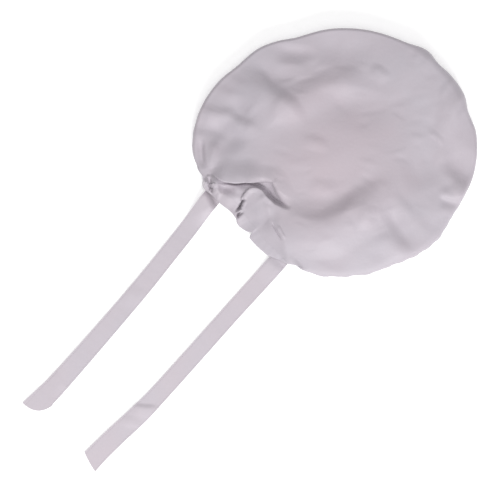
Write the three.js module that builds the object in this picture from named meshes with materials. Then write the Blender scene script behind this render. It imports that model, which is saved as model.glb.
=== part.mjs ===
// A sleep bonnet lying flat on a table: a baggy round crown of satin, drawn in to a narrow elastic band
// around its mouth, and two ribbon ties sewn under the band.
//
// Millimetres, +Z up, table at z = 0. +Y runs from the mouth to the back of the crown. The shapes are worked
// out around the crown's middle, and the group is then moved so that the origin is under the middle of the
// whole bonnet.
//
// The cloth's middle surface is worked out first, as a grid of points, and gets its thickness afterwards.
import * as THREE from 'three';

// ---------------------------------------------------------------- driving dimensions
const CLOTH = 1.0; // doubled satin
const SEAM_GAP = 0.3; // between pieces that are sewn together
const CROWN_HEIGHT = 26; // the cloth's height over the middle of the crown
const CROWN_FLATNESS = 2.4; // power of the dome: higher is a flatter top with steeper sides
const SHOULDER_HEIGHT = 12; // where the top turns down into the rim
const RIM_ROUNDING = 7; // how far the rim stands out past the shoulder
const UNDERSIDE_HEIGHT = 0.6; // the cloth that lies on the table, between gathers
const GATHER_HEIGHT = 3; // puckers that the band draws into the underside
const BAND_THICKNESS = 2.4; // two layers of satin around the elastic
const BAND_CHAMFER = 0.8;
const SEAM_REACH = 2; // the cloth next to the seam runs straight on from the band for this length
const FULL_ROLL = 150; // turn of the cloth, in degrees, from which its rim has its full rounding
const SETTLING_LENGTH = 24; // length that the cloth takes to come down from a raised seam to the table

// ---------------------------------------------------------------- resolution
const COARSE_STEP = 5; // degrees between sections around the crown
const FINE_STEP = 2.5; // degrees between sections across the mouth
const FINE_FROM = -135;
const FINE_TO = -60;
const TOP_RINGS = 14;
const RING_CROWDING = 0.85; // power that draws them together towards the rim
const RIM_STEPS = 12; // points worked out on the curve over the rim
const RIM_RINGS = 4;
const UNDER_RINGS = 5;
const GATHER_SECTIONS = 4; // sections from one pucker to the next
const TIE_SEGMENTS = 5; // to each curve of a tie's outline, and for its long edges to each row

// Outline of the bonnet without its ties, seen from above: angle in degrees from +X, and distance from the
// crown's middle.
const OUTLINE = [
  { angle: -138, radius: 153 },
  { angle: -130, radius: 148 },
  { angle: -125, radius: 145 },
  { angle: -115, radius: 134 },
  { angle: -104, radius: 127 },
  { angle: -90, radius: 128 },
  { angle: -78, radius: 131 },
  { angle: -70, radius: 130 },
  { angle: -62, radius: 132 },
  { angle: -45, radius: 132 },
  { angle: -30, radius: 134 },
  { angle: -20, radius: 134.5 },
  { angle: -8, radius: 140.5 },
  { angle: 2, radius: 143 },
  { angle: 12, radius: 142 },
  { angle: 22, radius: 144.5 },
  { angle: 33, radius: 149.5 },
  { angle: 50, radius: 151.5 },
  { angle: 59, radius: 148 },
  { angle: 66, radius: 150.5 },
  { angle: 76, radius: 148 },
  { angle: 83, radius: 145 },
  { angle: 90, radius: 146.5 },
  { angle: 99, radius: 139.5 },
  { angle: 115, radius: 135.5 },
  { angle: 135, radius: 132 },
  { angle: 150, radius: 130 },
  { angle: 160, radius: 135 },
  { angle: 168, radius: 138.5 },
  { angle: 180, radius: 140 },
  { angle: 190, radius: 146 },
  { angle: 204, radius: 151.5 },
];

// The seam between crown and band, once around the mouth. angle is the crown section that ends there.
// turn is how far the cloth has turned over when it gets to the seam, in degrees: 0 at the front, where the
// band lies outwards, 90 at the mouth's corners, where it stands, and 180 where it lies under the crown.
// lift is the height of the band's lowest edge, width the band's width, and slope how far before the seam
// the top of the crown starts to go down, or before the rim where the crown turns under.
const MOUTH = [
  { angle: -125.4, x: -83.5, y: -117.5, turn: 90, lift: 1.4, width: 9, slope: 12 },
  { angle: -121.5, x: -69.5, y: -113.5, turn: 45, lift: 1.9, width: 11, slope: 17 },
  { angle: -117, x: -55, y: -109, turn: 8, lift: 1.6, width: 12.5, slope: 21 },
  { angle: -112, x: -43, y: -107.5, turn: 0, lift: 1.4, width: 13, slope: 24 },
  { angle: -105.5, x: -30.5, y: -110, turn: 0, lift: 6, width: 12.5, slope: 26 },
  { angle: -99, x: -17.5, y: -112.5, turn: 0, lift: 5.5, width: 13.5, slope: 26 },
  { angle: -94.2, x: -8.3, y: -113, turn: 0, lift: 2.2, width: 12.5, slope: 26 },
  { angle: -88, x: 4, y: -116, turn: 0, lift: 1.4, width: 13.5, slope: 25 },
  { angle: -80, x: 20.5, y: -116.3, turn: 8, lift: 1.6, width: 13, slope: 22 },
  { angle: -75.5, x: 30.4, y: -117.5, turn: 45, lift: 1.9, width: 11, slope: 18 },
  { angle: -71, x: 41.3, y: -120, turn: 90, lift: 1.4, width: 9, slope: 12 },
  { angle: -65, x: 49.5, y: -107, turn: 145, lift: 0.6, width: 10, slope: 8 },
  { angle: -56, x: 56, y: -87, turn: 174, lift: 0.5, width: 12, slope: 7 },
  { angle: -46, x: 58, y: -70, turn: 180, lift: 0.4, width: 12, slope: 7 },
  { angle: -20, x: 50, y: -43, turn: 180, lift: 0.4, width: 12, slope: 7 },
  { angle: 25, x: 29, y: -23, turn: 180, lift: 0.4, width: 12, slope: 7 },
  { angle: 70, x: 0, y: -13, turn: 180, lift: 0.4, width: 12, slope: 7 },
  { angle: 110, x: -32, y: -13, turn: 180, lift: 0.4, width: 12, slope: 7 },
  { angle: 155, x: -62, y: -23, turn: 180, lift: 0.4, width: 12, slope: 7 },
  { angle: 197, x: -83, y: -43, turn: 180, lift: 0.4, width: 12, slope: 7 },
  { angle: 212, x: -92, y: -66, turn: 180, lift: 0.4, width: 12, slope: 7 },
  { angle: 221, x: -94, y: -85, turn: 174, lift: 0.5, width: 12, slope: 7 },
  { angle: 229, x: -91, y: -103, turn: 145, lift: 0.6, width: 10, slope: 8 },
];

// Folds and dents in the top of the crown: a soft ridge (height above 0) or valley (below 0), centred at
// x, y, running at heading degrees, with its half length and half width.
const FOLDS = [
  { name: 'crease behind the band', x: -56, y: -88, heading: 36, length: 40, width: 16, height: -7 },
  { name: 'crease behind the bunch', x: -22, y: -77, heading: 4, length: 34, width: 15, height: -7 },
  { name: 'bunch in the front cloth', x: -28, y: -98, heading: 94, length: 22, width: 16, height: 5 },
  { name: 'fold up from the left tie', x: -90, y: -90, heading: 116, length: 28, width: 10, height: 4 },
  { name: 'hollow beside that fold', x: -110, y: -82, heading: 130, length: 26, width: 14, height: -3.5 },
  { name: 'left shoulder ridge', x: -92, y: -6, heading: 12, length: 52, width: 24, height: 3.5 },
  { name: 'left shoulder valley', x: -90, y: 26, heading: 28, length: 50, width: 20, height: -5 },
  { name: 'upper left ridge', x: -40, y: 60, heading: 44, length: 60, width: 22, height: 3.5 },
  { name: 'upper left valley', x: -58, y: 86, heading: 36, length: 50, width: 20, height: -4 },
  { name: 'peak over the left corner', x: -90, y: -110, heading: 140, length: 30, width: 20, height: 5 },
  { name: 'peak over the right corner', x: 50, y: -113, heading: 24, length: 30, width: 20, height: 5 },
  { name: 'right ridge', x: 38, y: -56, heading: 58, length: 62, width: 20, height: 3 },
  { name: 'right valley', x: 92, y: -26, heading: 20, length: 48, width: 18, height: -4 },
  { name: 'lower right valley', x: 74, y: -78, heading: 26, length: 34, width: 16, height: -3 },
  { name: 'upper right valley', x: 100, y: 58, heading: 58, length: 42, width: 18, height: -5 },
  { name: 'nipped pleat at the right rim', x: 124, y: 44, heading: 28, length: 26, width: 13, height: -4 },
];

// Middle line and width of each tie, from its root under the band, and its cut end: a curve from the left
// corner to the right one, pulled towards bulge.
const TIE_THICKNESS = 1.0;
const TIES = [
  {
    name: 'tie_left',
    line: [
      { y: -109, x: -68.4, width: 20 },
      { y: -135, x: -67, width: 19.5 },
      { y: -165, x: -64.5, width: 19.5 },
      { y: -200, x: -62.5, width: 19.5 },
      { y: -240, x: -60.5, width: 20 },
      { y: -290, x: -59.4, width: 20.5 },
      { y: -350, x: -58.8, width: 21.5 },
      { y: -385, x: -59, width: 22.5 },
      { y: -400, x: -59.8, width: 23.5 },
    ],
    end: { left: [-73.6, -421.6], bulge: [-52, -423], right: [-47.6, -403] },
  },
  {
    name: 'tie_right',
    line: [
      { y: -115, x: 30.4, width: 20 },
      { y: -150, x: 30.4, width: 20 },
      { y: -200, x: 29.9, width: 19.5 },
      { y: -260, x: 29.8, width: 19.5 },
      { y: -320, x: 29.3, width: 20 },
      { y: -350, x: 27.9, width: 21.3 },
      { y: -380, x: 24.9, width: 21.7 },
      { y: -405, x: 23, width: 22 },
    ],
    end: { left: [11.2, -417], bulge: [24, -423], right: [33.8, -425] },
  },
];

// ---------------------------------------------------------------- small helpers
const radians = THREE.MathUtils.degToRad;
const degrees = THREE.MathUtils.radToDeg;
const mix = THREE.MathUtils.lerp;
const smooth = THREE.MathUtils.smoothstep;
const bell = (q) => (Math.abs(q) < 1 ? (1 - q * q) ** 2 : 0);

// A cubic through rows sorted by key, for one column. With period it runs round and joins itself.
function columnCurve(rows, key, column, period = 0) {
  const count = rows.length;
  const row = (i) => {
    if (!period) return rows[THREE.MathUtils.clamp(i, 0, count - 1)];
    const turns = Math.floor(i / count);
    const base = rows[i - turns * count];
    return { [key]: base[key] + turns * period, [column]: base[column] };
  };
  const slope = (i) => {
    const [before, after] = [row(i - 1), row(i + 1)];
    return (after[column] - before[column]) / (after[key] - before[key]);
  };
  return (value) => {
    let at = value;
    if (period) at = rows[0][key] + THREE.MathUtils.euclideanModulo(value - rows[0][key], period);
    let i = 0;
    while (i < count - (period ? 1 : 2) && row(i + 1)[key] <= at) i += 1;
    const [low, high] = [row(i), row(i + 1)];
    const span = high[key] - low[key];
    const f = (at - low[key]) / span;
    const rise = high[column] - low[column];
    const [a, b] = [slope(i) * span, slope(i + 1) * span];
    return low[column] + f * (a + f * (3 * rise - 2 * a - b + f * (a + b - 2 * rise)));
  };
}

// A cubic from one point to another, with the way and pull it leaves and arrives with.
function hermite(start, leaving, end, arriving, f) {
  const g = f - 1;
  return start.clone().multiplyScalar((1 + 2 * f) * g * g)
    .addScaledVector(leaving, f * g * g)
    .addScaledVector(end, f * f * (3 - 2 * f))
    .addScaledVector(arriving, f * f * g);
}

// The point at a length along a path, whose lengths to each of its points are given.
function alongPath({ points, lengths }, length) {
  let i = 1;
  while (i < points.length - 1 && lengths[i] < length) i += 1;
  const f = (length - lengths[i - 1]) / (lengths[i] - lengths[i - 1]);
  return points[i - 1].clone().lerp(points[i], f);
}

// Joins two rings of point numbers with triangles, round and round.
function ringFaces(faces, first, second) {
  const count = first.length;
  for (let i = 0; i < count; i += 1) {
    const next = (i + 1) % count;
    faces.push(first[i], second[i], second[next], first[i], second[next], first[next]);
  }
}

function geometryOf(points, faces) {
  const geometry = new THREE.BufferGeometry().setFromPoints(points);
  geometry.setIndex(faces);
  geometry.computeVertexNormals();
  return geometry;
}

// ---------------------------------------------------------------- mouth
const TURN = 360;
const mouthColumns = ['x', 'y', 'turn', 'lift', 'width', 'slope'];
const mouthCurves = mouthColumns.map((column) => [column, columnCurve(MOUTH, 'angle', column, TURN)]);
const mouthAt = (angle) => Object.fromEntries(mouthCurves.map(([column, curve]) => [column, curve(angle)]));

// The seam at one angle: its point, the way the band runs from it, and the band's upright there.
function seamAt(angle) {
  const here = mouthAt(angle);
  const [before, after] = [mouthAt(angle - 1), mouthAt(angle + 1)];
  const outwards = new THREE.Vector3(after.y - before.y, before.x - after.x, 0).normalize();
  const turn = radians(here.turn);
  const up = new THREE.Vector3(0, 0, 1);
  const run = outwards.clone().multiplyScalar(Math.cos(turn)).addScaledVector(up, -Math.sin(turn));
  const face = up.clone().multiplyScalar(Math.cos(turn)).addScaledVector(outwards, Math.sin(turn));
  const flat = (BAND_THICKNESS / 2) * Math.abs(Math.cos(turn));
  const height = here.lift + flat + here.width * Math.sin(turn);
  return { ...here, run, face, point: new THREE.Vector3(here.x, here.y, height) };
}

// ---------------------------------------------------------------- crown
const outlineRadius = columnCurve(OUTLINE, 'angle', 'radius', TURN);

function foldHeight({ x, y }) {
  let height = 0;
  for (const fold of FOLDS) {
    const [c, s] = [Math.cos(radians(fold.heading)), Math.sin(radians(fold.heading))];
    const [dx, dy] = [x - fold.x, y - fold.y];
    height += fold.height * bell((dx * c + dy * s) / fold.length) * bell((dy * c - dx * s) / fold.width);
  }
  return height;
}

// The dome that the top follows, before its folds.
function domeHeight({ x, y }) {
  const share = Math.hypot(x, y) / (outlineRadius(degrees(Math.atan2(y, x))) - RIM_ROUNDING);
  return SHOULDER_HEIGHT + (CROWN_HEIGHT - SHOULDER_HEIGHT) * (1 - Math.min(share, 1) ** CROWN_FLATNESS);
}

// The cloth's way in one section from the shoulder to the seam: over the rim in a cubic, and where the seam
// lies further in, down to the table and along it. rim is the path's length up to the end of the cubic.
function turnedPath(shoulder, direction, seam, under) {
  const near = seam.point.clone().addScaledVector(seam.run, -SEAM_REACH);
  const bottom = near.clone().lerp(shoulder.clone().setZ(UNDERSIDE_HEIGHT), under);
  const pull = mix(shoulder.distanceTo(bottom), 4 * RIM_ROUNDING, smooth(seam.turn, 90, FULL_ROLL));
  const leaving = direction.clone().multiplyScalar(pull);
  const arriving = seam.run.clone().lerp(direction.clone().negate(), under).setLength(pull);
  const points = [];
  for (let i = 0; i <= RIM_STEPS; i += 1) {
    points.push(hermite(shoulder, leaving, bottom, arriving, i / RIM_STEPS));
  }
  if (under > 0) points.push(near);
  const lengths = [0];
  for (let i = 1; i < points.length; i += 1) lengths.push(lengths[i - 1] + points[i].distanceTo(points[i - 1]));
  return { points, lengths, rim: lengths[RIM_STEPS], whole: lengths[lengths.length - 1] };
}

// The middle line of the cloth from the crown's middle to the seam, in one section.
function crownSection(angle, index) {
  const seam = seamAt(angle);
  const direction = new THREE.Vector3(Math.cos(radians(angle)), Math.sin(radians(angle)), 0);
  const seamRadius = Math.hypot(seam.x, seam.y);
  const standing = smooth(seam.turn, 0, 90);
  const top = mix(seamRadius, outlineRadius(angle), standing) - seam.slope;
  const points = [];
  for (let i = 1; i <= TOP_RINGS; i += 1) {
    const point = direction.clone().multiplyScalar(top * (i / TOP_RINGS) ** RING_CROWDING);
    points.push(point.setZ(domeHeight(point) + foldHeight(point)));
  }

  const shoulder = points[TOP_RINGS - 1];
  const under = seam.turn > 90 ? smooth(top - seamRadius, 0, SETTLING_LENGTH) : 0;
  const path = turnedPath(shoulder, direction, seam, under);
  const wave = 0.5 - 0.5 * Math.cos((2 * Math.PI * index) / GATHER_SECTIONS);
  const rings = RIM_RINGS + UNDER_RINGS;
  for (let i = 1; i <= rings; i += 1) {
    const [onRim, beyond] = [Math.min(i / RIM_RINGS, 1), Math.max(i - RIM_RINGS, 0) / UNDER_RINGS];
    const turned = onRim * path.rim + beyond * (path.whole - path.rim);
    const point = alongPath(path, mix((path.whole * i) / rings, turned, under));
    const crease = (foldHeight(point) - foldHeight(shoulder)) * (1 - standing) * (1 - i / rings);
    point.z += crease + GATHER_HEIGHT * wave * under * Math.sin(Math.PI * beyond);
    points.push(point);
  }
  points.push(seam.point.clone().addScaledVector(seam.run, -SEAM_GAP));
  return points;
}

// Angles of the sections: close together across the mouth, and wider apart elsewhere.
function sectionAngles() {
  const steps = (from, to, step) => {
    const count = Math.round((to - from) / step);
    return Array.from({ length: count }, (_, i) => mix(from, to, i / count));
  };
  return [...steps(FINE_TO, FINE_FROM + TURN, COARSE_STEP), ...steps(FINE_FROM, FINE_TO, FINE_STEP)];
}

// Gives a sheet its thickness. sections[i][j] is the middle surface, closed round i, from a pole outwards.
// Both skins have the same triangles, so that they stay the same distance apart.
function thickSheet(pole, sections, thickness) {
  const [around, along] = [sections.length, sections[0].length];
  const skin = (side) => {
    const shift = (side * thickness) / 2;
    const points = [pole.clone().add(new THREE.Vector3(0, 0, shift))];
    for (let j = 0; j < along; j += 1) {
      for (let i = 0; i < around; i += 1) {
        const here = sections[i];
        const across = sections[(i + 1) % around][j].clone().sub(sections[(i + around - 1) % around][j]);
        const outer = here[Math.min(j + 1, along - 1)];
        const inner = j ? here[j - 1] : pole;
        const normal = outer.clone().sub(inner).cross(across).normalize();
        points.push(here[j].clone().addScaledVector(normal, shift));
      }
    }
    return points;
  };
  const ring = (j, start = 0) => Array.from({ length: around }, (_, i) => start + 1 + j * around + i);
  const faces = [];
  ring(0).forEach((number, i, first) => faces.push(0, number, first[(i + 1) % around]));
  for (let j = 0; j < along - 1; j += 1) ringFaces(faces, ring(j), ring(j + 1));

  const points = [...skin(1), ...skin(-1)];
  const inside = points.length / 2;
  faces.push(...faces.map((number) => number + inside).reverse());
  ringFaces(faces, ring(along - 1), ring(along - 1, inside));
  return geometryOf(points, faces);
}

function makeCrown(angles, material) {
  const pole = new THREE.Vector3(0, 0, CROWN_HEIGHT);
  const crown = new THREE.Mesh(thickSheet(pole, angles.map(crownSection), CLOTH), material);
  crown.name = 'crown';
  return crown;
}

// ---------------------------------------------------------------- band
// A flat tube of cloth with the elastic in it, swept once around the mouth.
function makeBand(angles, material) {
  const half = BAND_THICKNESS / 2;
  const stations = angles.map((angle) => {
    const seam = seamAt(angle);
    const [start, end] = [SEAM_GAP / 2, seam.width];
    const inner = half - BAND_CHAMFER;
    const corners = [
      [start, -inner],
      [start + BAND_CHAMFER, -half],
      [end - BAND_CHAMFER, -half],
      [end, -inner],
      [end, inner],
      [end - BAND_CHAMFER, half],
      [start + BAND_CHAMFER, half],
      [start, inner],
    ];
    return corners.map(([run, face]) =>
      seam.point.clone().addScaledVector(seam.run, run).addScaledVector(seam.face, face));
  });
  const sides = stations[0].length;
  const rings = stations.map((_, i) => Array.from({ length: sides }, (__, k) => i * sides + k));
  const faces = [];
  rings.forEach((ring, i) => ringFaces(faces, ring, rings[(i + 1) % rings.length]));
  const band = new THREE.Mesh(geometryOf(stations.flat(), faces), material);
  band.name = 'band';
  return band;
}

// ---------------------------------------------------------------- ties
// A flat ribbon lying on the table.
function makeTie({ name, line, end }, material) {
  const edge = (side) => line.map((row) => new THREE.Vector2(row.x + (side * row.width) / 2, row.y));
  const [left, right] = [edge(-1), edge(1)];
  const outline = new THREE.Shape();
  outline.moveTo(left[0].x, left[0].y);
  outline.splineThru([...left.slice(1), new THREE.Vector2(...end.left)]);
  outline.quadraticCurveTo(...end.bulge, ...end.right);
  outline.splineThru(right.reverse());
  const options = { depth: TIE_THICKNESS, bevelEnabled: false, curveSegments: TIE_SEGMENTS };
  const tie = new THREE.Mesh(new THREE.ExtrudeGeometry(outline, options), material);
  tie.name = name;
  return tie;
}

// ---------------------------------------------------------------- the bonnet
const satin = new THREE.MeshStandardMaterial({ name: 'satin', color: 0xc3bbc3, roughness: 0.45, metalness: 0 });
const ribbon = new THREE.MeshStandardMaterial({ name: 'ribbon', color: 0xcbc3cd, roughness: 0.5, metalness: 0 });

const angles = sectionAngles();
const bonnet = new THREE.Group();
bonnet.add(makeCrown(angles, satin), makeBand(angles, satin));
bonnet.add(...TIES.map((tie) => makeTie(tie, ribbon)));

const bounds = new THREE.Box3().setFromObject(bonnet);
const middle = bounds.getCenter(new THREE.Vector3());
bonnet.position.set(-middle.x, -middle.y, -bounds.min.z);

export default bonnet;
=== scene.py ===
# %% [markdown]
# # A satin sleep bonnet, lying flat on a table
#
# The bonnet is one round cut of satin, gathered into a narrow band with elastic in it. Lying down, it is a
# low, baggy disc: the top is the middle of the cut, the rim is where the cloth turns under, and the rest of
# the cut lies beneath, drawn in to the mouth. Two ribbon ties are sewn under the band.
#
# Cloth like this can be simulated, sculpted by hand, or made from grids whose points are placed by sums. Sums
# are used here. They put each fold where it is wanted, and they give the same bonnet every time.
#
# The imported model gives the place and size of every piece. This script makes the cloth that is seen.

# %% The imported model
import math

import bpy
import numpy as np
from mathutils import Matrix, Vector


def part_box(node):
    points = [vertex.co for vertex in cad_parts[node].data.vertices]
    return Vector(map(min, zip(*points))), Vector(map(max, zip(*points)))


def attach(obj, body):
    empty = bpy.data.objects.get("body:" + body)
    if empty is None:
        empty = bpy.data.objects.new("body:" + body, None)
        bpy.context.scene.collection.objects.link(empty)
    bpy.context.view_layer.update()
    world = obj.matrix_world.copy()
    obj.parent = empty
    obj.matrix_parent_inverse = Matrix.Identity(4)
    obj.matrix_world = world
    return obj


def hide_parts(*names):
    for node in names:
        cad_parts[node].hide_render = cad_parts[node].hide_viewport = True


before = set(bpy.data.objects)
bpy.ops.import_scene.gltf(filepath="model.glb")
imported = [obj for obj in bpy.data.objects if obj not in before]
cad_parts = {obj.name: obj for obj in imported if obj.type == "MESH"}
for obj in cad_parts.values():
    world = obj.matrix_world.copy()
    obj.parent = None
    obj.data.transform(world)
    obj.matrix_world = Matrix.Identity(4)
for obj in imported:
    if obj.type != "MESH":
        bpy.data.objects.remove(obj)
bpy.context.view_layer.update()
for node in sorted(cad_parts):
    low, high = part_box(node)
    print(node, [round(1000 * side, 1) for side in high - low], "mm")

# %% [markdown]
# # Units and helpers
#
# The tables below are in millimetres around the middle of the crown, because that is how such a bonnet is
# laid out: the band and the ties are measured from the crown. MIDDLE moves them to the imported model's frame.

# %% Units
MM = 0.001
FULL_TURN = 360
MIDDLE = np.array((0.51, 139.0, 0.0))


def smooth(value, low, high):
    """Goes from 0 at low to 1 at high, starting and stopping gently."""
    f = np.clip((np.asarray(value, float) - low) / (high - low), 0, 1)
    return f * f * (3 - 2 * f)


def mix(a, b, f):
    return a + (b - a) * f


def unit(vectors):
    return vectors / np.maximum(np.linalg.norm(vectors, axis=-1, keepdims=True), 1e-9)


# %% [markdown]
# # Curves through a few points
#
# A pattern cutter marks a few points and joins them with one smooth line. Blender's own curves do that too,
# but here the line is wanted as numbers, to lay cloth along it. So two helpers work it out: one for a closed
# table of values around the crown, and one for an open line.


# %% A closed table
def around(table, angles):
    """Values of a closed table (angle, value, value, ...) at the given angles, in degrees."""
    table = np.array(table, float)
    keys = np.concatenate([table[:, 0] - FULL_TURN, table[:, 0], table[:, 0] + FULL_TURN])
    rows = np.tile(table[:, 1:], (3, 1))
    slopes = (np.roll(rows, -1, 0) - np.roll(rows, 1, 0)) / (np.roll(keys, -1) - np.roll(keys, 1))[:, None]
    i = np.searchsorted(keys, angles, side="right") - 1
    span = (keys[i + 1] - keys[i])[:, None]
    f = (angles - keys[i])[:, None] / span
    rise = rows[i + 1] - rows[i]
    a, b = slopes[i] * span, slopes[i + 1] * span
    return rows[i] + f * (a + f * (3 * rise - 2 * a - b + f * (a + b - 2 * rise)))


# %% An open line
def line_through(points, steps=10):
    """Points along a smooth open line through the given ones."""
    p = np.array(points, float)
    ends = np.vstack([2 * p[0] - p[1], p, 2 * p[-1] - p[-2]])
    f = np.linspace(0, 1, steps, endpoint=False)[:, None]
    pieces = []
    for a, b, c, d in zip(ends, ends[1:], ends[2:], ends[3:]):
        pull = (2 * a - 5 * b + 4 * c - d) * f**2 + (3 * b - a - 3 * c + d) * f**3
        pieces.append(b + 0.5 * ((c - a) * f + pull))
    return np.vstack([*pieces, p[-1:]])


def length_along(points):
    """How far along the line each of its points lies."""
    return np.concatenate([[0], np.cumsum(np.linalg.norm(np.diff(points, axis=0), axis=1))])


def at_lengths(points, lengths, wanted):
    """Points of the line at the wanted lengths along it."""
    return np.stack([np.interp(wanted, lengths, points[:, k]) for k in range(points.shape[1])], axis=1)


def spread(points, count):
    """The same line with its points spread evenly along it."""
    lengths = length_along(points)
    return at_lengths(points, lengths, np.linspace(0, lengths[-1], count))


# %% [markdown]
# # The camera
#
# The bonnet is shown from straight above, turned a little on the table. A short lens would make the crown,
# which is higher than the ties, look larger than it is. A long one, far away, keeps the sizes true.

# %% Camera
VIEW_WIDTH = 535 * MM
LENS = 120
SENSOR = 36
VIEW_MIDDLE = np.array((0.71, 1.8, 4.0)) * MM
VIEW_TURN = 41.6

camera_data = bpy.data.cameras.new("camera")
camera_data.lens, camera_data.sensor_width = LENS, SENSOR
camera = bpy.data.objects.new("camera", camera_data)
bpy.context.scene.collection.objects.link(camera)
camera.location = Vector(VIEW_MIDDLE) + Vector((0, 0, VIEW_WIDTH * LENS / SENSOR))
camera.rotation_euler = (0, 0, math.radians(VIEW_TURN))
bpy.context.scene.camera = camera
print("camera height", round(camera.location.z, 3), "m")

# %% [markdown]
# # The table and the light
#
# The bonnet lies on a plain pale table in an even white surround. Pale cloth on a pale table shows its folds
# only by light from one side. So one large soft light stands at the side of the right tie, and gives the folds
# their lit and shaded sides. The surround and a weaker light overhead keep the shadows light.

# %% Table
TABLE_SIZE = 8
TABLE_DROP = 0.2 * MM  # the cloth never touches the table's face

bpy.ops.object.select_all(action="DESELECT")
bpy.ops.mesh.primitive_grid_add(
    x_subdivisions=8, y_subdivisions=8, size=TABLE_SIZE, location=(0, 0, -TABLE_DROP)
)
table = bpy.context.object
table.name = "table"
bpy.ops.object.transform_apply(location=True, rotation=True, scale=True)

paper = bpy.data.materials.new("table_white")
paper.use_nodes = True
paper_sockets = paper.node_tree.nodes["Principled BSDF"].inputs
paper_sockets["Base Color"].default_value = (0.94, 0.94, 0.94, 1)
paper_sockets["Roughness"].default_value = 0.9
paper_sockets["Specular IOR Level"].default_value = 0.1
paper_sockets["Emission Color"].default_value = (1, 1, 1, 1)
paper_sockets["Emission Strength"].default_value = 0.25
table.data.materials.append(paper)
print("table", TABLE_SIZE, "m wide")


# %% Light
def soft_light(name, heading, height, distance, size, power):
    """A square area light that shines at the bonnet, from a heading and height in degrees."""
    data = bpy.data.lights.new(name, "AREA")
    data.shape, data.size, data.energy = "SQUARE", size, power
    light = bpy.data.objects.new(name, data)
    bpy.context.scene.collection.objects.link(light)
    flat = math.cos(math.radians(height))
    way = Vector((
        flat * math.cos(math.radians(heading)),
        flat * math.sin(math.radians(heading)),
        math.sin(math.radians(height)),
    ))
    light.location = way * distance
    light.rotation_euler = way.to_track_quat("Z", "Y").to_euler()
    print(name, "light", [round(c, 2) for c in light.location], "m")


soft_light("side", heading=-36, height=36, distance=2.6, size=1.2, power=50)
soft_light("overhead", heading=0, height=90, distance=3.0, size=2.2, power=30)

surround = bpy.data.worlds.new("surround")
surround.use_nodes = True
surround_sockets = surround.node_tree.nodes["Background"].inputs
surround_sockets["Color"].default_value = (1, 1, 1, 1)
surround_sockets["Strength"].default_value = 0.5
bpy.context.scene.world = surround
bpy.context.scene.view_settings.view_transform = "Standard"

# %% [markdown]
# # Shader maths
#
# A material's pattern is worked out from numbers. Its nodes could be added and linked one by one, but a sum
# is easier to read. So Level wraps one socket and adds a Math node for each operation on it, and Finish makes
# the other nodes.


# %% Level
class Level:
    """One output of a material's nodes, mostly a number that changes over the surface."""

    def __init__(self, finish, socket):
        self.finish, self.socket = finish, socket

    def maths(self, operation, *others):
        return self.finish.node("ShaderNodeMath", {"operation": operation}, [self, *others])

    def __add__(self, other):
        return self.maths("ADD", other)

    __radd__ = __add__

    def __mul__(self, other):
        return self.maths("MULTIPLY", other)

    __rmul__ = __mul__

    def __sub__(self, other):
        return self.maths("SUBTRACT", other)

    def __rsub__(self, other):
        return self.finish.node("ShaderNodeMath", {"operation": "SUBTRACT"}, [other, self])

    def sine(self):
        return self.maths("SINE")


# %% Finish
class Finish:
    """A material being made."""

    def __init__(self, name):
        self.material = bpy.data.materials.new(name)
        self.material.use_nodes = True
        self.tree = self.material.node_tree
        self.shader = self.tree.nodes["Principled BSDF"]

    def node(self, kind, settings=None, values=None, output=0):
        """Adds a node. Its settings come first, then the values or links of its sockets."""
        made = self.tree.nodes.new(kind)
        for name, setting in (settings or {}).items():
            setattr(made, name, setting)
        values = values or {}
        for key, value in values.items() if isinstance(values, dict) else enumerate(values):
            self.put(made.inputs[key], value)
        return Level(self, made.outputs[output])

    def put(self, socket, value):
        if isinstance(value, Level):
            self.tree.links.new(value.socket, socket)
        else:
            socket.default_value = value

    def set(self, **values):
        for name, value in values.items():
            self.put(self.shader.inputs[name.replace("_", " ")], value)

    def noise(self, place, scale, detail):
        values = {"Vector": place, "Scale": scale, "Detail": detail}
        return self.node("ShaderNodeTexNoise", values=values)

    def change(self, value, low, high, start, end):
        """Goes from start to end while the value goes from low to high."""
        return self.node("ShaderNodeMapRange", values=[value, low, high, start, end])

    def blend(self, f, a, b):
        """The colour a where f is 0, and b where it is 1."""
        return self.node("ShaderNodeMix", {"data_type": "RGBA"}, {0: f, 6: a, 7: b}, output=2)

    def bump(self, height, depth, strength, under=None):
        """A relief as deep as depth, in mm, on top of the one under it."""
        values = {"Strength": strength, "Distance": depth * MM, "Height": height}
        if under:
            values["Normal"] = under
        return self.node("ShaderNodeBump", values=values)


# %% [markdown]
# # Satin and its stitches
#
# Satin is a fine weave whose long floating threads lie side by side, so it has a soft sheen and no visible
# grid. The band and the ribbons are sewn along their edges, and each stitch pulls a small dimple. A scanned
# swatch could be wrapped round the pieces, but it would blur close up. So the threads are a pair of sine waves
# along and across the flat cut, and the stitches a row of dimples beside its edge, and both follow the cloth
# wherever it goes. Slow noise lets the dye and the sheen drift a little, as handled satin does. The middle of
# the crown's cut is also painted warmer and darker: painted shade on the crown's flat top.

# %% Stitches
HEM = 1.7
STITCH_LENGTH = 2.4
STITCH_WIDTH = 0.35
STITCH_DEPTH = 0.3


def stitch_lines(finish, along, across, hems):
    """1 beside the stitches, and lower along them, most at the ends of each stitch."""
    height = 1.0
    for hem in hems:
        beside = (across - hem * MM).maths("ABSOLUTE")
        near = finish.change(beside, 0.0, STITCH_WIDTH * MM, 1.0, 0.0)
        pierced = (along * (2 * math.pi / (STITCH_LENGTH * MM))).sine() * 0.5 + 0.6
        height = height - near * pierced
    return height


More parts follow.
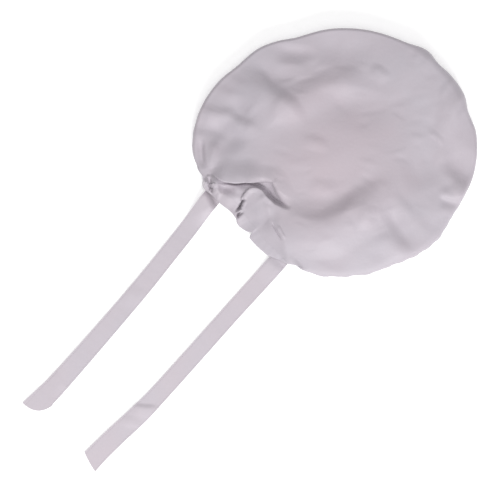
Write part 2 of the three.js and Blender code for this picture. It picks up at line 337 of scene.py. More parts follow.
# %% Satin
def satin(name, colour, warm, roughness=0.50, thread=0.32, slub=0.35, middle_shade_strength=0.0, hems=()):
    """A satin finish. Its colour drifts at random towards warm, and can be painted warmer and darker in the
    middle
    of the cut: painted shade on the crown's flat top.

    thread is the pitch of the threads and slub the depth of the crumple, in mm. Each of the hems is how far
    across the cut a line of stitches runs, in mm.
    """
    finish = Finish(name)
    place = finish.node("ShaderNodeTexCoord", output="Object")
    flat = finish.node("ShaderNodeTexCoord", output="UV")
    parts = finish.node("ShaderNodeSeparateXYZ", values=[flat]).socket.node
    along, across = (Level(finish, parts.outputs[k]) for k in (0, 1))

    drift = finish.change(finish.noise(place, scale=14.0, detail=2.0), 0.35, 0.65, 0.0, 1.0)
    mottle = finish.noise(place, scale=90.0, detail=3.0)
    middle = finish.node("ShaderNodeVectorMath", {"operation": "LENGTH"}, [flat], output="Value")
    # painted shade: warmer and darker towards the middle of the cut, where the crown's top lies flat
    painted_middle_shade = finish.change(middle, 0.02, 0.10, middle_shade_strength, 0.0)
    dye_and_painted_shade = finish.blend(drift * (0.5 - 0.3 * middle_shade_strength) + mottle * 0.2 + painted_middle_shade, (*colour, 1), (*warm, 1))

    pitch = 2 * math.pi / (thread * MM)
    warp = (across * pitch).sine()
    weft = (along * (pitch * 0.5)).sine()
    weave = warp * 0.6 + warp * weft * 0.4
    relief = finish.bump(weave, depth=0.04, strength=0.25)
    relief = finish.bump(finish.noise(place, scale=260.0, detail=2.0), depth=slub, strength=0.5, under=relief)
    if hems:
        stitches = stitch_lines(finish, along, across, hems)
        relief = finish.bump(stitches, depth=STITCH_DEPTH, strength=0.8, under=relief)
    finish.set(
        Base_Color=dye_and_painted_shade,
        Roughness=roughness + 0.10 * (mottle - 0.5) + 0.03 * weave,
        Normal=relief,
        Sheen_Weight=0.25,
        Sheen_Roughness=0.45,
        Specular_IOR_Level=0.42,
    )
    print(name, len(finish.tree.nodes), "nodes")
    return finish.material


# %% The three finishes
TIE_WIDTH = 20

# the crown's satin carries painted shade in the middle of its cut
satin_crown = satin("satin", (0.434, 0.405, 0.449), (0.450, 0.387, 0.428), middle_shade_strength=0.7)
satin_band = satin("satin_band", (0.440, 0.411, 0.456), (0.458, 0.405, 0.444), hems=[HEM])
ribbon = satin(
    "ribbon", (0.500, 0.462, 0.508), (0.520, 0.458, 0.498), thread=0.4, slub=0.25, hems=[HEM, TIE_WIDTH - HEM]
)

# %% [markdown]
# # The outline and the mouth
#
# These two tables are the bonnet's pattern. OUTLINE is the rim seen from above. MOUTH is the seam where the
# crown meets the band. Its turn says how far the cloth has rolled over when it gets there: 0 in front, where
# the band lies outwards between the ties, 90 at the corners, and 180 where it lies under the crown. Tables
# by angle are used, rather than drawn curves, because every section of the cloth then finds its own row.

# %% Pattern
OUTLINE = [
    (-138, 153, 17), (-130, 148, 16), (-125, 145, 15.5), (-115, 134, 15), (-104, 127, 16), (-90, 128, 16),
    (-78, 131, 15.5), (-70, 130, 14.5), (-62, 132, 12.5), (-45, 132, 10.5), (-30, 134, 11), (-20, 134.5, 12),
    (-8, 140.5, 13), (2, 143, 14), (12, 142, 15), (22, 144.5, 16), (33, 149.5, 17), (50, 151.5, 18),
    (59, 148, 19), (66, 150.5, 19.5), (76, 148, 20), (83, 145, 20.5), (90, 146.5, 21), (99, 139.5, 21),
    (115, 135.5, 21), (135, 132, 21), (150, 130, 20.5), (160, 135, 20), (168, 138.5, 19.5), (180, 140, 19),
    (190, 146, 18.5), (204, 151.5, 18),
]  # angle in degrees, distance from the crown's middle, height of the shoulder inside the rim

MOUTH = [
    (-125.4, -83.5, -116, 72, 2.9, 9.5, 13), (-121.5, -69.5, -111, 24, 4, 11, 18),
    (-117, -55, -109, 12, 4.6, 12.5, 20), (-112, -43, -107.5, 8, 4.6, 13, 22),
    (-105.5, -30.5, -110, 8, 5.5, 12.6, 24), (-102, -24, -111.8, 10, 5, 14.6, 23),
    (-99, -17.5, -113, 12, 4.9, 12.8, 22), (-96.2, -12.2, -113.2, 14, 5.4, 10.4, 21),
    (-94.9, -9.7, -113.4, 15, 5.8, 9.2, 21), (-94, -7.9, -113.7, 16, 4.4, 12.4, 21),
    (-92.6, -5.2, -114.3, 18, 3.5, 14.8, 20), (-88, 4, -116.8, 22, 3, 13.5, 20),
    (-80, 20.5, -117.4, 30, 2.8, 13, 18), (-75.5, 30.4, -118.6, 52, 2.5, 10, 15),
    (-71, 41.3, -119.5, 90, 1.9, 8, 12), (-65, 49.5, -107, 145, 0.6, 8.5, 9),
    (-56, 56, -87, 174, 0.5, 12, 8), (-46, 58, -70, 180, 0.4, 12, 9), (-20, 50, -43, 180, 0.4, 12, 10),
    (25, 29, -23, 180, 0.4, 12, 6), (70, 0, -13, 180, 0.4, 12, 3.5), (110, -32, -13, 180, 0.4, 12, 3),
    (155, -62, -23, 180, 0.4, 12, 2.6), (197, -83, -43, 180, 0.4, 12, 2.6), (212, -92, -66, 180, 0.4, 12, 3.2),
    (221, -94, -85, 174, 0.5, 12, 7), (229, -91, -103, 145, 0.6, 10, 8),
]  # angle, x, y, turn, lift off the table, band width, slope before the seam or the rim
print(len(OUTLINE), "places on the rim and", len(MOUTH), "on the mouth")


# %% The seam
BAND_THICKNESS = 2.4
UP = np.array((0.0, 0.0, 1.0))


def seam_at(angles):
    """The seam at some angles: its points, the band's way out from them and its upright, and the rest."""
    here = around(MOUTH, angles)
    step = around(MOUTH, angles + 1) - around(MOUTH, angles - 1)
    outwards = unit(np.stack([step[:, 1], -step[:, 0], np.zeros(len(angles))], axis=1))
    turn = np.radians(here[:, 2])[:, None]
    run = outwards * np.cos(turn) - UP * np.sin(turn)
    face = UP * np.cos(turn) + outwards * np.sin(turn)
    height = here[:, 3] + BAND_THICKNESS / 2 * np.abs(np.cos(turn[:, 0])) + here[:, 4] * np.sin(turn[:, 0])
    points = np.column_stack([here[:, 0], here[:, 1], height])
    return points, run, face, {"turn": here[:, 2], "width": here[:, 4], "slope": here[:, 5]}


mouth_line = seam_at(np.arange(0, FULL_TURN + 1, 2.0))[0]
print("mouth", round(float(length_along(mouth_line)[-1])), "mm round")

# %% [markdown]
# # Folds
#
# A fold in soft cloth is a line with a height, and each side of it falls away in its own width. Equal sides
# make a soft ridge or valley. A wide side and a narrow one make a pleat, and overlap pushes its edge out over
# the low side, as cloth does when it folds onto itself. A brush in sculpt mode does the same by hand. Written
# as a sum, a fold can be moved, widened or taken out again.


# %% Where a place lies beside a line
def nearest_on(path, places):
    """How far each place is from the path, on which side, how far along, and which way the path runs there."""
    start, way = path[:-1], np.diff(path, axis=0)
    lengths = np.linalg.norm(way, axis=1)
    passed = length_along(path)
    way = way / lengths[:, None]
    gap = places[:, None] - start[None]
    run = np.clip((gap * way).sum(2), 0, lengths)
    distance = np.linalg.norm(gap - run[..., None] * way, axis=2)
    i, pick = distance.argmin(1), np.arange(len(places))
    way, gap = way[i], gap[pick, i]
    side = way[:, 0] * gap[:, 1] - way[:, 1] * gap[:, 0]
    return distance[pick, i], side, (passed[i] + run[pick, i]) / passed[-1], way


# %% How a fold moves the cloth
USUAL_OVERLAP, USUAL_ENDS = 0, 0.4


def bell(q):
    """A smooth bump: 1 in the middle, and 0 from 1 outwards."""
    return np.where(np.abs(q) < 1, (1 - q * q) ** 2, 0.0)


def fold_moves(places, folds):
    """How far each place (x, y) on the cloth is moved by the folds, as x, y and z."""
    moves = np.zeros((len(places), 3))
    for _, points, height, left, right, *rest in folds:
        overlap, ends = (*rest, *(USUAL_OVERLAP, USUAL_ENDS)[len(rest):])
        path = line_through(points)
        reach = max(left, right) + abs(overlap)
        low, high = path.min(0) - reach, path.max(0) + reach
        near = np.flatnonzero(((places > low) & (places < high)).all(1))
        if not len(near):
            continue
        distance, side, along, way = nearest_on(path, places[near])
        shape = bell(distance / np.where(side > 0, left, right))
        shape = shape * smooth(along, 0, ends) * smooth(1 - along, 0, ends)
        moves[near, 2] += height * shape
        if overlap:
            towards = np.stack([way[:, 1], -way[:, 0]], axis=1) * (1 if right < left else -1)
            moves[near, :2] += overlap * shape[:, None] * towards
    return moves


# %% [markdown]
# # The folds of this bonnet
#
# Each row is one fold: its name, the points of its line, its height, the widths of its left and right sides
# going along the line, then how far it overlaps, and how much of its length fades at each end. The broad
# folds come first, then the bunched cloth in front, then the pleats at the rim. Small creases between them
# have no place that matters, so they are strewn at random, in the same places every time.

# %% Broad folds
BROAD_FOLDS = [
    ("left shoulder ridge", [(-138, -4), (-106, -4), (-84, 0), (-64, 0), (-44, -10)], 6.4, 16, 34),
    ("second left ridge", [(-88, -6), (-68, 12), (-58, 36), (-46, 58), (-22, 78)], 4, 20, 24, 0, 0.25),
    ("top of the left shoulder", [(-108, -10), (-90, -10), (-64, -6)], 1.2, 14, 24),
    ("left middle ridge", [(-84, -10), (-78, -28), (-76, -54)], 2, 22, 18, 0, 0.5),
    ("left shoulder hollow", [(-136, 18), (-110, 17), (-94, 24), (-82, 40)], -2, 14, 12),
    ("dent above the left shoulder", [(-124, 36), (-108, 48), (-94, 57), (-80, 60)], -3.2, 10, 15),
    ("upper left valley", [(-96, 62), (-76, 78), (-54, 91), (-36, 98)], -2.2, 24, 20),
    ("upper left rim ridge", [(-132, 60), (-104, 96), (-68, 122), (-24, 140)], 2.4, 8, 30),
    ("long valley", [(-54, 22), (-32, 46), (-6, 62), (26, 72)], -3, 18, 36),
    ("rise along the top rim", [(-70, 112), (-30, 130), (20, 136), (70, 122), (104, 90)], 5, 12, 60),
    ("knoll above the long valley", [(-34, 90), (-22, 94), (-8, 92)], 1.8, 9, 11),
    ("ridge at the upper right rim", [(44, 142), (60, 118), (74, 96), (92, 88)], 3, 17, 18),
    ("upper right valley", [(66, 26), (80, 49), (92, 73)], -3.2, 34, 26),
    ("upper right ridge", [(112, 10), (124, 32), (132, 50)], 1.4, 22, 12),
    ("upper right hollow", [(84, 68), (106, 75), (140, 81)], -4.6, 26, 16),
    ("ridge above the nipped pleat", [(110, 53), (122, 56), (142, 60)], 2.8, 12, 7),
    ("thin right ridge", [(70, 6), (98, 4), (136, -1)], 1.6, 9, 8),
    ("right valley", [(74, -8), (104, -14), (136, -18)], -3, 11, 11),
    ("lower right ridge", [(82, -30), (108, -34), (138, -30)], 2.6, 13, 14),
    ("main ridge", [(82, 32), (70, 8), (61, -20), (55, -45), (44, -70), (16, -87), (-12, -90)], 5.6, 34, 24),
    ("shoulder of the main ridge", [(64, -14), (70, -30), (80, -40)], 1.8, 12, 12),
    ("dent behind the main ridge", [(-36, -62), (-6, -61), (14, -53), (28, -33), (40, -4), (54, 26)],
     -4.2, 42, 24),
    ("low side at the lower right", [(36, -140), (92, -116), (126, -82), (148, -30)], -3.4, 50, 12),
    ("left corner hollow", [(-126, -66), (-108, -64), (-92, -62), (-74, -62)], -4.5, 18, 26),
    ("left part of the roll over the crease", [(-88, -101), (-76, -99), (-62.5, -91.5), (-53, -81.5),
     (-46, -76), (-38, -71)], 6.5, 21, 4.2, 4.5, 0.3),
    ("right part of the roll over the crease", [(-58, -87), (-53, -81.5), (-45, -75), (-31, -65), (-19, -69),
     (-8, -72), (4, -71)], 3, 15, 5, 2.4, 0.35),
    ("dent at the left", [(-126, -30), (-108, -33), (-88, -35)], -2.4, 13, 12, 0, 0.5),
    ("lower left ridge", [(-110, -50), (-90, -43), (-80, -30)], 2.2, 12, 13),
    ("small middle ridge", [(-38, -16), (-22, -6), (-6, -2)], 1.5, 10, 10),
    ("second middle ridge", [(-4, -44), (14, -37), (27, -24)], 1.8, 11, 12),
    ("lower right dent", [(50, -94), (70, -88), (92, -78)], -1, 16, 12),
]
print(len(BROAD_FOLDS), "broad folds")

# %% Folds in front
FRONT_FOLDS = [
    ("crease behind the band", [(-75, -104), (-67, -100.5), (-58, -92.5), (-49, -84.5), (-38, -80), (-28, -79),
     (-18, -81), (-6, -78), (4, -74)], -5, 4, 4, 0, 0.25),
    ("pocket below the crease", [(-76, -103.5), (-67, -101), (-57, -92.5), (-47, -85)], -6, 3.5, 17, 0, 0.3),
    ("widest part of the crease", [(-52, -87), (-41, -80), (-30, -75), (-19, -78), (-6, -77), (6, -73)],
     -7.5, 11, 5, 0, 0.45),
    ("front panel", [(-86, -106), (-74, -110), (-64, -110.5), (-54, -108.5), (-47, -102), (-43, -94)],
     4.6, 16, 12, 0, 0.25),
    ("bunch", [(-31, -122), (-36, -110), (-39.5, -100), (-41, -90), (-41, -80)], 2.2, 4, 30),
    ("edge of the bunch", [(-39, -108), (-41.5, -102), (-42.5, -95), (-41.5, -89), (-37.5, -85), (-32, -83.5),
     (-24, -85), (-12, -84)], 1.9, 1.7, 4, 1.3, 0.15),
    ("slit beside the bunch", [(-39.5, -99), (-39.8, -105), (-38, -111), (-32, -121)], -9, 2, 1.9, 0, 0.2),
    ("lip of the slit", [(-37.6, -100), (-36, -106), (-33.6, -112), (-28, -122)], 1.2, 1.6, 3, 0, 0.25),
    ("dent beside the bunch", [(-16, -108), (-8, -99), (4, -92)], -1.4, 14, 16),
    ("ridge along the front", [(-24, -104), (8, -107), (44, -103)], 1.3, 20, 14),
    ("right edge of the bunch", [(-34, -83), (-24, -85.5), (-14, -91), (-6, -97)], 1.2, 5, 6),
    ("short crease", [(-3, -99), (8, -103), (19, -107)], -2.2, 1.8, 2.4, 0, 0.3),
    ("lip of the short crease", [(4, -97.5), (12, -101), (21, -104)], 1.1, 2.4, 2.2, 0, 0.3),
    ("tucked tab", [(-32, -120), (-21, -122), (-9, -120)], -1.6, 4, 8),
    ("crease in the left corner", [(-118, -82), (-105, -96), (-93, -106)], -3.5, 5, 9, 0, 0.3),
    ("fold by the left corner", [(-102, -72), (-95, -88), (-88, -102)], 2.2, 4, 10, 0, 0.3),
    ("corner slit", [(-82.5, -107.5), (-80, -111.5), (-76, -114.8), (-68.5, -118)], -10, 2.8, 2.6, 0, 0.35),
    ("outer edge of the corner loop", [(-84.5, -105), (-84, -112), (-79, -117.5), (-69, -120.5)],
     2.2, 2.2, 2.4, 0, 0.2),
    ("inner edge of the corner loop", [(-84, -103.5), (-77, -107), (-69, -112.5), (-60, -119.5)],
     2.6, 5, 2.2, 0, 0.2),
]
print(len(FRONT_FOLDS), "folds in front")

# %% Pleats at the rim
RIM_FOLDS = [
    ("lip of the nipped pleat", [(106, 41), (120, 47), (136, 56)], 2.2, 9, 4.5, 0.8, 0.35),
    ("under the nipped pleat", [(112, 37), (126, 42), (142, 51)], -2.4, 4.5, 10, 0, 0.3),
    ("top pleat one", [(44, 148), (42, 130), (46, 112)], 1, 5, 7),
    ("top pleat two", [(60, 142), (62, 124), (71, 104)], 1.1, 5, 8),
    ("top pleat three", [(76, 134), (73, 118), (82, 102)], 0.8, 5, 7),
    ("pleat by the bump", [(4, 150), (8, 138), (10, 122)], 0.7, 6, 6),
    ("pleat left of the bump", [(-8, 148), (-4, 134), (-6, 122)], 0.6, 6, 6),
    ("left pleat one", [(-152, -38), (-128, -30), (-106, -18)], 1, 8, 8),
    ("left pleat two", [(-146, -66), (-122, -54), (-100, -40)], 2.6, 9, 9),
    ("under the second left pleat", [(-140, -84), (-118, -70), (-100, -58)], -1.8, 9, 8),
    ("left pleat three", [(-148, -16), (-128, -14), (-110, -8)], 0.8, 7, 7),
    ("small upper crease", [(56, 80), (68, 83), (82, 81)], 1.1, 6, 3),
]
print(len(RIM_FOLDS), "pleats at the rim")

# %% Small creases
SMALL_CREASES = 110
CREASE_REACH = 138  # how far from the middle they go, in mm
CREASE_SLANT = 38
RIM_SHARE = 0.75  # beyond this share of the reach they run square to the rim
CREASE_SEED = 5


def small_creases(rng):
    """Shallow creases all over the crown, most of them slanting as the broad folds do."""
    folds = []
    for number in range(SMALL_CREASES):
        angle, share = rng.uniform(0, 2 * math.pi), rng.uniform(0.1, 1) ** 0.6
        x, y = CREASE_REACH * share * math.cos(angle), CREASE_REACH * share * math.sin(angle)
        by_the_rim = share > RIM_SHARE
        heading = angle + rng.normal(0, 0.3) if by_the_rim else math.radians(CREASE_SLANT) + rng.normal(0, 0.5)
        half, height = rng.uniform(8, 22), rng.choice([-1, 1]) * rng.uniform(0.15, 0.55)
        bend = rng.uniform(-0.25, 0.25) * half
        dx, dy = math.cos(heading), math.sin(heading)
        line = [(x - dx * half, y - dy * half), (x - dy * bend, y + dx * bend), (x + dx * half, y + dy * half)]
        left, right = rng.uniform(3.5, 9, 2)
        folds.append((f"crease {number}", line, height, left, right))
    return folds


FOLDS = BROAD_FOLDS + FRONT_FOLDS + RIM_FOLDS + small_creases(np.random.default_rng(CREASE_SEED))
print(len(FOLDS), "folds")

# %% [markdown]
# # The crown
#
# The crown is the round cut itself. A grid of cloth is laid out as the cut is: one column for each direction
# from the middle, one row for each ring. Its points are then moved to where the cloth lies, over the dome,
# round the rim and back underneath to the seam. A simulation of the gathering would fold a little differently
# each time its settings changed, so the folds are placed one by one, as cloth is smoothed out on a table.

# %% Columns and rings of the crown
SPANS = [
    (-132, -122, 0.34), (-122, -96, 0.26), (-96, -60, 0.75), (-60, 5, 1.625), (5, 100, 1.25), (100, 228, 1.6),
]  # from, to and step in degrees: close together across the front, where the small folds are
INNER_RINGS, OUTER_RINGS = 18, 70
INNER_SHARE = 0.5
TOP_RINGS = INNER_RINGS + OUTER_RINGS
RIM_RINGS = 12
UNDER_RINGS = 28

angles = np.concatenate([np.arange(low, high - step / 2, step) for low, high, step in SPANS])
ring_shares = np.interp(np.arange(1, TOP_RINGS + 1), [0, INNER_RINGS, TOP_RINGS], [0, INNER_SHARE, 1])
print(len(angles), "columns of", TOP_RINGS + RIM_RINGS + UNDER_RINGS, "rings")

# %% The dome
CROWN_HEIGHT = 22.5
CROWN_FLATNESS = 2.2
RIM_ROUNDING = 7


def dome_height(x, y):
    """Height of the crown's top at a place, before the folds."""
    rim, shoulder = around(OUTLINE, np.degrees(np.arctan2(y, x))).T
    share = np.minimum(np.hypot(x, y) / (rim - RIM_ROUNDING), 1)
    return shoulder + (CROWN_HEIGHT - shoulder) * (1 - share**CROWN_FLATNESS)


def top_of_section(direction, radius):
    """The cloth from beside the pole to its shoulder, as far out as the radius."""
    top = (radius * ring_shares)[:, None] * direction
    top[:, 2] = dome_height(top[:, 0], top[:, 1])
    return top


# %% [markdown]
# # Round the rim
#
# Beyond the shoulder the cloth turns over. In front it runs on to the seam, and elsewhere it goes down the
# side and back beneath. A bevel would turn it by the same amount all round, so each section gets a curve of its
# own: a cubic that leaves in the dome's slope and arrives in the band's.

# %% The rim of a section
SEAM_REACH = 2
FULL_ROLL = 150
UNDERSIDE_HEIGHT = 0.6
CURVE_POINTS = 40


def hermite(start, leaving, end, arriving, f):
    """A cubic from start to end, with the way and pull it leaves and arrives with."""
    f = f[:, None]
    g = f - 1
    return (
        start * (1 + 2 * f) * g * g + leaving * f * g * g + end * f * f * (3 - 2 * f) + arriving * f * f * g
    )


def rim_of_section(top, direction, point, run, turn, slope, under):
    """The cloth from its shoulder to the seam, where under is 1 if it turns right back beneath."""
    shoulder, near = top[-1], point - run * SEAM_REACH
    bottom = mix(near, np.array((shoulder[0], shoulder[1], UNDERSIDE_HEIGHT)), under)
    pull = mix(np.linalg.norm(shoulder - bottom), 4 * slope, float(smooth(turn, 90, FULL_ROLL)))
    arriving = unit(mix(run, -direction, under)) * pull
    leaving = unit(shoulder - top[-2]) * pull
    rim = hermite(shoulder, leaving, bottom, arriving, np.linspace(0, 1, CURVE_POINTS))
    path = np.vstack([rim, near]) if under > 0 else rim
    lengths = length_along(path)
    over, whole = lengths[CURVE_POINTS - 1], lengths[-1]
    ring = np.arange(1, RIM_RINGS + UNDER_RINGS + 1)
    beyond = np.maximum(ring - RIM_RINGS, 0) / UNDER_RINGS
    turned = np.minimum(ring / RIM_RINGS, 1) * over + beyond * (whole - over)
    return at_lengths(path, lengths, mix(whole * ring / len(ring), turned, under))


# %% A section of the crown
SEWN_IN = 0.8
SETTLING_LENGTH = 24


def loose(turn):
    """How freely the folds move the seam: 1 in front, and 0 where the band lies under the crown."""
    return 1 - smooth(turn, 60, 130)


def section_of(angle, point, run, turn, slope):
    """One section from beside the pole to the seam: its points, how far folds move each, and how far under."""
    direction = np.array((math.cos(math.radians(angle)), math.sin(math.radians(angle)), 0.0))
    seam_radius = math.hypot(point[0], point[1])
    rim_radius = float(around(OUTLINE, np.array([angle]))[0, 0])
    radius = mix(seam_radius, rim_radius, float(smooth(turn, 0, 90))) - slope
    under = float(smooth(radius - seam_radius, 0, SETTLING_LENGTH)) if turn > 90 else 0.0
    top = top_of_section(direction, radius)
    rest = rim_of_section(top, direction, point, run, turn, slope, under)
    ring = np.arange(1, RIM_RINGS + UNDER_RINGS + 1)
    held = mix(1 - smooth(ring / RIM_RINGS, 0, 1), 1.0, loose(turn))
    beyond = np.maximum(ring - RIM_RINGS, 0) / UNDER_RINGS
    return (
        np.vstack([top, rest, point + run * SEWN_IN]),
        np.concatenate([np.ones(TOP_RINGS), held, [loose(turn)]]),
        np.concatenate([np.zeros(TOP_RINGS), under * beyond, [under]]),
    )


# %% All sections
CLOTH_THICKNESS = 1.0
SEAM_DROP = 0.1

seam_points, seam_run, seam_face, seam = seam_at(angles)
# the cloth is sewn in under the outer layer of the band
seam_points += seam_face * ((BAND_THICKNESS - CLOTH_THICKNESS) / 2 - SEAM_DROP)
sections = [section_of(*row) for row in zip(angles, seam_points, seam_run, seam["turn"], seam["slope"])]
cloth, held, beyond_rim = (np.array(values) for values in zip(*sections))
print("crown grid", cloth.shape[:2])

# %% [markdown]
# # Folding the crown
#
# The folds move the top of the cloth. They fade out round the rim, where the cloth turns under, and they run
# on over the band in front. Underneath, the elastic draws the cloth into gathers: many small ones at the
# seam, which join into fewer and wider ones further out. The side below the rim takes up the spare cloth in
# upright ripples. Rows of folds like these could be drawn one by one, but there are hundreds of them, and
# waves with a wandering pitch look as uneven as the real ones.

# %% Gathers
GATHERS = [(92, 1.5, 0.55), (47, 2.6, 0.15), (23, 2.6, -0.2)]  # how many, height in mm, where they fade in
GATHER_SEED = 11


def gather_heights(angles, beyond):
    """Height of the gathers under the crown, where beyond is 0 at the rim and 1 at the seam."""
    rng = np.random.default_rng(GATHER_SEED)
    total = np.zeros_like(beyond)
    a = np.radians(angles)
    for count, height, start in GATHERS:
        wander = sum(rng.uniform(0.3, 0.9) * np.sin(a * k + rng.uniform(0, 2 * math.pi)) for k in (2, 3, 5))
        phase = (a * count + wander * 1.6)[:, None]
        strength = (0.75 + 0.25 * np.sin(a * 7 + rng.uniform(0, 6)))[:, None]
        fade = smooth(beyond, start, 1) * np.sin(math.pi * np.clip(beyond, 0, 1) ** 1.4) ** 0.6
        total += height * strength * (0.5 + 0.5 * np.sin(phase)) * fade
    return total


# %% Ripples
RIPPLES = [(67, 0.9), (43, 1.3), (26, 1.1)]  # how many round the rim, and their depth in mm
RIPPLE_FADE = 8  # rings
RIPPLE_SEED = 23


def rim_ripples(angles, ring, under):
    """Upright ripples below the rim, where the cut is drawn in: how far they move the cloth outwards."""
    rng = np.random.default_rng(RIPPLE_SEED)
    a = np.radians(angles)
    below = TOP_RINGS + RIM_RINGS
    wall = smooth(ring, TOP_RINGS + 1, TOP_RINGS + RIPPLE_FADE) * (1 - smooth(ring, below, below + RIPPLE_FADE))
    waves = np.zeros_like(a)
    for count, depth in RIPPLES:
        wander = 2.5 * np.sin(5 * a + rng.uniform(0, 6))
        waves += depth * (0.5 + 0.5 * np.sin(count * a + wander + rng.uniform(0, 6))) ** 2
    return -(waves * under)[:, None] * wall[None]


# %% The folded crown
def moves_at(points, weight):
    """How far the folds move some points, each by its own share."""
    places = points.reshape(-1, 3)
    return (fold_moves(places[:, :2], FOLDS) * np.ravel(weight)[:, None]).reshape(points.shape)


outwards = np.column_stack([np.cos(np.radians(angles)), np.sin(np.radians(angles)), np.zeros(len(angles))])
ripple = rim_ripples(angles, np.arange(cloth.shape[1]), beyond_rim[:, -1])
cloth += ripple[..., None] * outwards[:, None]
cloth += moves_at(cloth, held)
cloth[:, :, 2] += gather_heights(angles, beyond_rim) * (beyond_rim > 0)
pole = np.array([[0.0, 0.0, CROWN_HEIGHT]])
pole += moves_at(pole, 1.0)
print("crown height", round(float(cloth[:, :, 2].max()), 1), "mm")

# %% [markdown]
# # From a grid of points to a piece of cloth
#
# A grid primitive is added with one point for each point of the cloth, its points are put in their places,
# and doubled points are merged where the cloth closes on itself. Its UV map is the flat cut in metres, so
# the weave follows the cloth. Unwrapping the finished shape would stretch the weave at the folds. Solidify
# then gives the cloth its thickness.

# %% A grid in its place
DOUBLES = 0.001 * MM


def closed(grid, axis):
    """The grid with its first row or column again at its end."""
    return np.concatenate([grid, grid.take([0], axis)], axis=axis)


def placed_grid(name, points, cut):
    """points and cut are rows by columns: where the cloth lies in mm, and where it lies in the flat cut."""
    rows, columns = points.shape[:2]
    bpy.ops.object.select_all(action="DESELECT")
    bpy.ops.mesh.primitive_grid_add(x_subdivisions=columns - 1, y_subdivisions=rows - 1, size=1)
    piece = bpy.context.object
    piece.name = piece.data.name = name
    mesh = piece.data
    mesh.vertices.foreach_set("co", ((points + MIDDLE) * MM).ravel())
    corners = np.zeros(len(mesh.loops), np.int32)
    mesh.loops.foreach_get("vertex_index", corners)
    mesh.uv_layers.active.data.foreach_set("uv", (cut.reshape(-1, 2)[corners] * MM).ravel())
    mesh.update()
    bpy.ops.object.mode_set(mode="EDIT")
    bpy.ops.mesh.select_all(action="SELECT")
    bpy.ops.mesh.remove_doubles(threshold=DOUBLES)
    bpy.ops.object.mode_set(mode="OBJECT")
    return piece


# %% A piece of cloth
EDGE_ANGLE = 60


def cloth_piece(name, points, cut, thickness, material):
    """A sheet of cloth, with the middle of its thickness at the points."""
    piece = placed_grid(name, points, cut)
    wall = piece.modifiers.new("thickness", "SOLIDIFY")
    wall.thickness, wall.offset = thickness * MM, 0
    bpy.ops.object.modifier_apply(modifier=wall.name)
    bpy.ops.object.shade_smooth_by_angle(angle=math.radians(EDGE_ANGLE))
    piece.data.materials.append(material)
    print(name, len(piece.data.polygons), "faces")
    return piece


# %% Crown
whole = np.concatenate([np.repeat(pole[None], len(cloth), 0), cloth], axis=1)
steps = np.linalg.norm(np.diff(whole, axis=1), axis=2)
lengths = np.concatenate([np.zeros((len(whole), 1)), np.cumsum(steps, axis=1)], axis=1)
way = np.radians(angles)[:, None]
cut = np.stack([lengths * np.cos(way), lengths * np.sin(way)], axis=2)
# rings by columns, with the columns turned round so that the faces point outwards
rows, cut_rows = (closed(grid.transpose(1, 0, 2)[:, ::-1], 1) for grid in (whole, cut))
crown = cloth_piece("crown_cloth", rows, cut_rows, CLOTH_THICKNESS, satin_crown)
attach(crown, "root")
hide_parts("crown")
print("flat cut", [round(float(side)) for side in np.ptp(cut.reshape(-1, 2), axis=0)], "mm")

# %% [markdown]
# # The band
#
# The band is a strip of the same satin sewn round the elastic, so it is a flat tube with soft edges. The
# elastic is shorter than the cloth, so the strip puckers crosswise, most where it is relaxed under the crown.
# A curve with a bevel object would make a tube too, but it can't widen, roll over and pucker along its way.
# So the tube is a grid as well, with one ring of points for each place along the seam.

# %% Section of the band
BAND_SIDES = 22
SEAM_POWER, EDGE_POWER = 7, 2.8  # powers of its oval section: nearly square at the seam, round at the free edge

spin = np.arange(BAND_SIDES) * 2 * math.pi / BAND_SIDES
power = np.where(np.cos(spin) < 0, SEAM_POWER, EDGE_POWER)
section_run = 0.5 + 0.5 * np.sign(np.cos(spin)) * np.abs(np.cos(spin)) ** (2 / power)
section_face = np.sign(np.sin(spin)) * np.abs(np.sin(spin)) ** (2 / power)
print("band section of", BAND_SIDES, "points")

# %% Puckers of the band
PUCKERS = 96
PUCKER_HEIGHT = 0.35
PULLED_FLAT = 0.35  # what is left of the puckers in front

between = np.diff(np.append(angles, angles[0] + FULL_TURN)) / 2
band_angles = np.sort(np.concatenate([angles, angles + between]))
points, run, face, band = seam_at(band_angles)
pucker = np.sin(np.radians(band_angles) * PUCKERS + 2 * np.sin(np.radians(band_angles) * 5))
pucker *= mix(PULLED_FLAT, 1.0, smooth(band["turn"], 20, 150))
print("band", [round(float(band["width"].min()), 1), round(float(band["width"].max()), 1)], "mm wide")

# %% Band
BAND_LOWEST = 0.3

across = section_run * band["width"][:, None]
out = section_face * (BAND_THICKNESS / 2 - PUCKER_HEIGHT / 2 + PUCKER_HEIGHT / 2 * pucker[:, None])
tube = points[:, None] + run[:, None] * across[..., None] + face[:, None] * out[..., None]
tube += moves_at(tube, np.repeat(loose(band["turn"]), BAND_SIDES))
tube[:, :, 2] = np.maximum(tube[:, :, 2], BAND_LOWEST)
wrapped = np.stack([np.repeat(length_along(points)[:, None], BAND_SIDES, 1), across], axis=2)

band_piece = placed_grid("band_cloth", *(closed(closed(grid, 0), 1) for grid in (tube, wrapped)))
bpy.ops.object.mode_set(mode="EDIT")
bpy.ops.mesh.normals_make_consistent(inside=False)
bpy.ops.object.mode_set(mode="OBJECT")
bpy.ops.object.shade_smooth()
band_piece.data.materials.append(satin_band)
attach(band_piece, "root")
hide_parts("band")
print(band_piece.name, len(band_piece.data.polygons), "faces")

# %% [markdown]
# # The ties
#
# Each tie is a flat ribbon of doubled satin, cut at a slant at its end. It lies on the table, so its height
# changes by only a millimetre or so, with the shallow waves that a pressed ribbon keeps, but for its root,
# which rises towards the band. A plane could be bent along a curve, but its ends would stay square. So the
# two edges are drawn as lines, and rows of points go from one to the other.

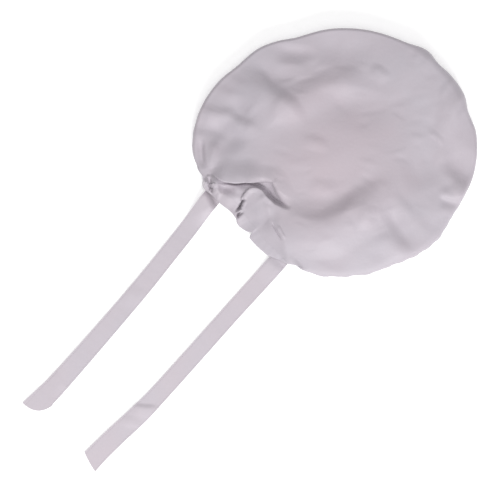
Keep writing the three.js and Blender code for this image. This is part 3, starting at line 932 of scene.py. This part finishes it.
# %% Lines and folds of the ties
TIES = {
    "tie_left": {
        "line": [
            (-68.4, -109, 20), (-67, -135, 19.5), (-64.5, -165, 19.5), (-62.5, -200, 19.5), (-60.5, -240, 20),
            (-59.4, -290, 20.5), (-58.8, -350, 21.5), (-59, -385, 22.5), (-59.8, -400, 23.5),
        ],
        "end": [(-73.6, -421.6), (-52, -423), (-47.6, -403)],
    },
    "tie_right": {
        "line": [
            (30.4, -115, 20), (30.4, -150, 20), (29.9, -200, 19.5), (29.8, -260, 19.5), (29.3, -320, 20),
            (27.9, -350, 21.3), (24.9, -380, 21.7), (23, -405, 22),
        ],
        "end": [(11.2, -417), (24, -423), (33.8, -425)],
    },
}

TIE_FOLDS = [
    ("root of the left tie", [(-94, -121), (-78, -126), (-60, -132.5), (-44, -139)], 6.8, 8.5, 28),
    ("root of the right tie", [(10, -134), (30, -135), (50, -134)], 1.6, 9, 20),
    ("crease in the right tie", [(12, -351), (28, -340), (44, -327)], 1.6, 6, 16),
    ("dent in the right tie", [(14, -366), (30, -358), (44, -350)], 0.9, 8, 8),
    ("bend in the left tie", [(-76, -262), (-60, -256), (-44, -252)], 0.9, 12, 16),
    ("second bend in the left tie", [(-76, -372), (-58, -380), (-44, -384)], 0.8, 9, 14),
]
print(len(TIE_FOLDS), "folds in the ties")

# %% Grid of a tie
TIE_ROWS, TIE_COLUMNS = 260, 19
SLANT_FROM = 0.93  # the share of the length where the rows start to turn to the slanted end


def tie_grid(line, end):
    """Points of a tie, from its root to its cut end: row by row, from its left edge to its right one."""
    middle = np.array(line, float)
    left, bulge, right = (np.array(corner, float) for corner in end)
    edges = []
    for side, corner in ((-1, left), (1, right)):
        edge = middle[:, :2] + np.column_stack([side * middle[:, 2] / 2, np.zeros(len(middle))])
        edges.append(spread(line_through([*edge, corner]), TIE_ROWS))
    s = np.linspace(0, 1, TIE_COLUMNS)[:, None]
    cut_end = (1 - s) ** 2 * left + 2 * s * (1 - s) * bulge + s**2 * right
    straight = mix(left, right, s)
    t = np.linspace(0, 1, TIE_ROWS)[:, None, None]
    grid = mix(edges[0][:, None], edges[1][:, None], s[None])
    return grid + smooth(t, SLANT_FROM, 1) * (cut_end - straight)[None]


# %% Waves of a tie
TIE_WAVES = [(120, 0.5), (52, 0.3), (23, 0.16), (11, 0.08)]  # length and height in mm


def ribbon_heights(grid, seed):
    """Heights of the shallow waves of a tie, in mm."""
    rng = np.random.default_rng(seed)
    x, y = grid[..., 0], grid[..., 1]
    heights = np.zeros(x.shape)
    for length, size in TIE_WAVES:
        slant = rng.uniform(-0.5, 0.5)
        heights += size * (0.5 + 0.5 * np.sin(2 * math.pi * (y + slant * x) / length + rng.uniform(0, 6)))
    return heights


# %% Ties
TIE_LENGTH = 310
TIE_THICKNESS = 0.9
TIE_LIFT = 0.05

for name, tie in TIES.items():
    grid = tie_grid(tie["line"], tie["end"])
    heights = TIE_THICKNESS / 2 + TIE_LIFT + ribbon_heights(grid, len(name))
    heights += fold_moves(grid.reshape(-1, 2), TIE_FOLDS)[:, 2].reshape(heights.shape)
    tie_points = np.concatenate([grid, heights[..., None]], axis=2)
    t = np.linspace(0, 1, TIE_ROWS) * TIE_LENGTH
    s = np.linspace(0, 1, TIE_COLUMNS) * TIE_WIDTH
    cut = np.stack(np.meshgrid(t, s, indexing="ij"), axis=2)
    piece = cloth_piece(name + "_ribbon", tie_points[:, ::-1], cut[:, ::-1], TIE_THICKNESS, ribbon)
    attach(piece, "root")
    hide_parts(name)
